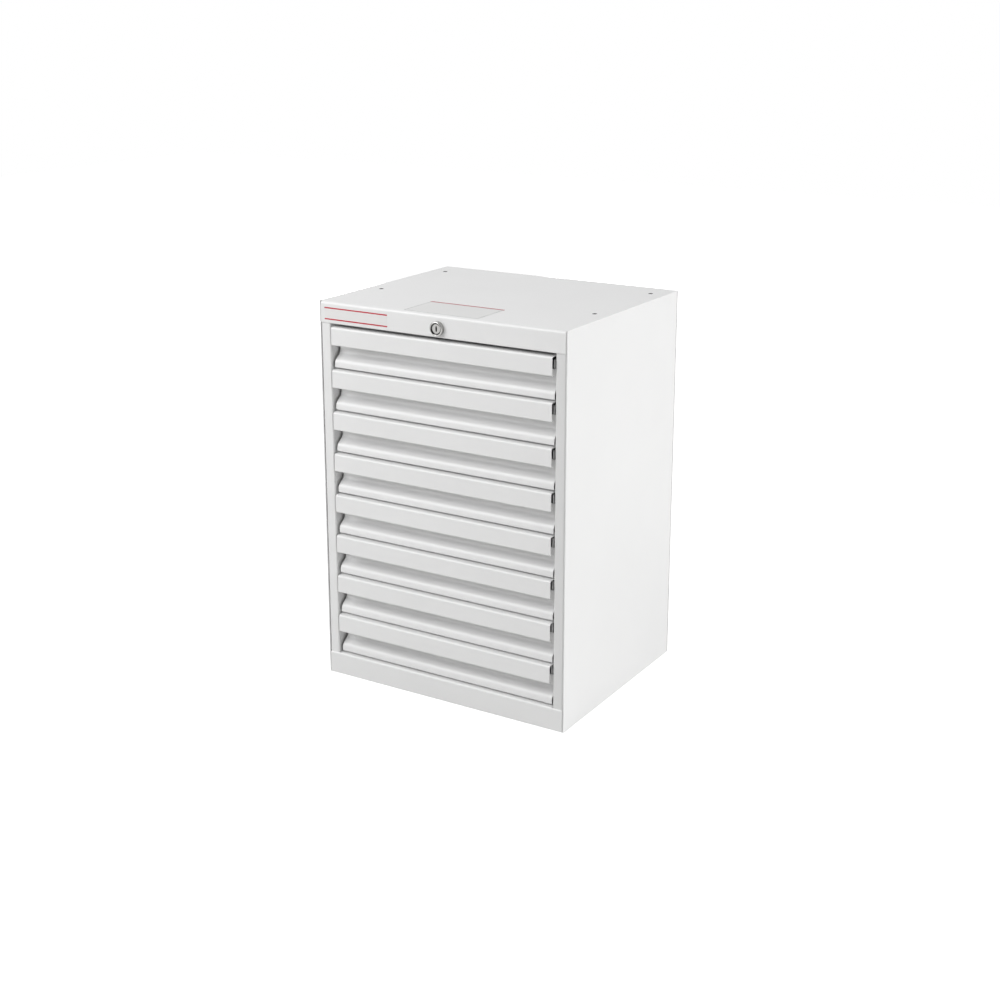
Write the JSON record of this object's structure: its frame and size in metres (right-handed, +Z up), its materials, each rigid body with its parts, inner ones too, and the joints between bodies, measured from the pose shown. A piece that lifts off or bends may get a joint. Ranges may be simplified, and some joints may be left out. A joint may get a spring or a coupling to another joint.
{
  "type": "van drawer cabinet",
  "caption": "Upright steel van cabinet with a column of shallow sliding drawers under full-width hooked lip pulls, and one central key lock in the fascia.",
  "frame": {"origin": "centre of the underside of the floor of the case", "axes": "+X right, +Y to the back, +Z up; the drawers open along -Y"},
  "size_m": [0.432, 0.3632, 0.61],
  "materials": {
    "white_coat": "satin powder coat",
    "zinc_steel": "zinc plated",
    "nickel": "nickel plated",
    "black_plastic": "moulded nylon"
  },
  "bodies": {
    "case": {"side_panel_left": "white_coat", "side_panel_right": "white_coat", "top_panel": "white_coat", "base_pan": "white_coat", "back_panel": "white_coat", "stile_left": "white_coat", "stile_right": "white_coat", "runner_uprights": "white_coat", "case_runners": "zinc_steel", "lock_body": "nickel", "lock_nut": "zinc_steel", "rod_bearing": "zinc_steel", "lock_bar_guides": "black_plastic", "back_rivets": "zinc_steel"},
    "lock_cylinder": {"lock_plug": "nickel", "lock_rod": "zinc_steel"},
    "lock_slide": {"lock_bar": "zinc_steel", "lock_hooks": "zinc_steel"},
    "drawer_1": {"drawer_front_1": "white_coat", "drawer_tray_1": "white_coat", "drawer_runners_1": "zinc_steel"},
    "middle_1": {"middle_runners_1": "zinc_steel"},
    "drawer_2": {"drawer_front_2": "white_coat", "drawer_tray_2": "white_coat", "drawer_runners_2": "zinc_steel"},
    "middle_2": {"middle_runners_2": "zinc_steel"},
    "drawer_3": {"drawer_front_3": "white_coat", "drawer_tray_3": "white_coat", "drawer_runners_3": "zinc_steel"},
    "middle_3": {"middle_runners_3": "zinc_steel"},
    "drawer_4": {"drawer_front_4": "white_coat", "drawer_tray_4": "white_coat", "drawer_runners_4": "zinc_steel"},
    "middle_4": {"middle_runners_4": "zinc_steel"},
    "drawer_5": {"drawer_front_5": "white_coat", "drawer_tray_5": "white_coat", "drawer_runners_5": "zinc_steel"},
    "middle_5": {"middle_runners_5": "zinc_steel"},
    "drawer_6": {"drawer_front_6": "white_coat", "drawer_tray_6": "white_coat", "drawer_runners_6": "zinc_steel"},
    "middle_6": {"middle_runners_6": "zinc_steel"},
    "drawer_7": {"drawer_front_7": "white_coat", "drawer_tray_7": "white_coat", "drawer_runners_7": "zinc_steel"},
    "middle_7": {"middle_runners_7": "zinc_steel"},
    "drawer_8": {"drawer_front_8": "white_coat", "drawer_tray_8": "white_coat", "drawer_runners_8": "zinc_steel"},
    "middle_8": {"middle_runners_8": "zinc_steel"}
  },
  "joints": [
    {"name": "drawer_1_slide", "type": "slide", "parent": "case", "child": "drawer_1", "axis": [0, -1, 0], "range_m": [0, 0.29]},
    {"name": "middle_1_slide", "type": "slide", "parent": "case", "child": "middle_1", "axis": [0, -1, 0], "range_m": [0, 0.145]},
    {"name": "drawer_2_slide", "type": "slide", "parent": "case", "child": "drawer_2", "axis": [0, -1, 0], "range_m": [0, 0.29]},
    {"name": "middle_2_slide", "type": "slide", "parent": "case", "child": "middle_2", "axis": [0, -1, 0], "range_m": [0, 0.145]},
    {"name": "drawer_3_slide", "type": "slide", "parent": "case", "child": "drawer_3", "axis": [0, -1, 0], "range_m": [0, 0.29]},
    {"name": "middle_3_slide", "type": "slide", "parent": "case", "child": "middle_3", "axis": [0, -1, 0], "range_m": [0, 0.145]},
    {"name": "drawer_4_slide", "type": "slide", "parent": "case", "child": "drawer_4", "axis": [0, -1, 0], "range_m": [0, 0.29]},
    {"name": "middle_4_slide", "type": "slide", "parent": "case", "child": "middle_4", "axis": [0, -1, 0], "range_m": [0, 0.145]},
    {"name": "drawer_5_slide", "type": "slide", "parent": "case", "child": "drawer_5", "axis": [0, -1, 0], "range_m": [0, 0.29]},
    {"name": "middle_5_slide", "type": "slide", "parent": "case", "child": "middle_5", "axis": [0, -1, 0], "range_m": [0, 0.145]},
    {"name": "drawer_6_slide", "type": "slide", "parent": "case", "child": "drawer_6", "axis": [0, -1, 0], "range_m": [0, 0.29]},
    {"name": "middle_6_slide", "type": "slide", "parent": "case", "child": "middle_6", "axis": [0, -1, 0], "range_m": [0, 0.145]},
    {"name": "drawer_7_slide", "type": "slide", "parent": "case", "child": "drawer_7", "axis": [0, -1, 0], "range_m": [0, 0.29]},
    {"name": "middle_7_slide", "type": "slide", "parent": "case", "child": "middle_7", "axis": [0, -1, 0], "range_m": [0, 0.145]},
    {"name": "drawer_8_slide", "type": "slide", "parent": "case", "child": "drawer_8", "axis": [0, -1, 0], "range_m": [0, 0.29]},
    {"name": "middle_8_slide", "type": "slide", "parent": "case", "child": "middle_8", "axis": [0, -1, 0], "range_m": [0, 0.145]},
    {"name": "lock_turn", "type": "hinge", "parent": "case", "child": "lock_cylinder", "pos_m": [0, -0.178, 0.59], "axis": [0, 1, 0], "range_deg": [0, 90]},
    {"name": "lock_bar_drop", "type": "slide", "parent": "case", "child": "lock_slide", "axis": [0, 0, -1], "range_m": [0, 0.01131]}
  ],
  "couplings": [
    {"joint": "middle_1_slide", "follows": "drawer_1_slide", "ratio": 0.5},
    {"joint": "middle_2_slide", "follows": "drawer_2_slide", "ratio": 0.5},
    {"joint": "middle_3_slide", "follows": "drawer_3_slide", "ratio": 0.5},
    {"joint": "middle_4_slide", "follows": "drawer_4_slide", "ratio": 0.5},
    {"joint": "middle_5_slide", "follows": "drawer_5_slide", "ratio": 0.5},
    {"joint": "middle_6_slide", "follows": "drawer_6_slide", "ratio": 0.5},
    {"joint": "middle_7_slide", "follows": "drawer_7_slide", "ratio": 0.5},
    {"joint": "middle_8_slide", "follows": "drawer_8_slide", "ratio": 0.5},
    {"joint": "lock_turn", "follows": "lock_bar_drop", "rad_per_m": 138.84}
  ]
}
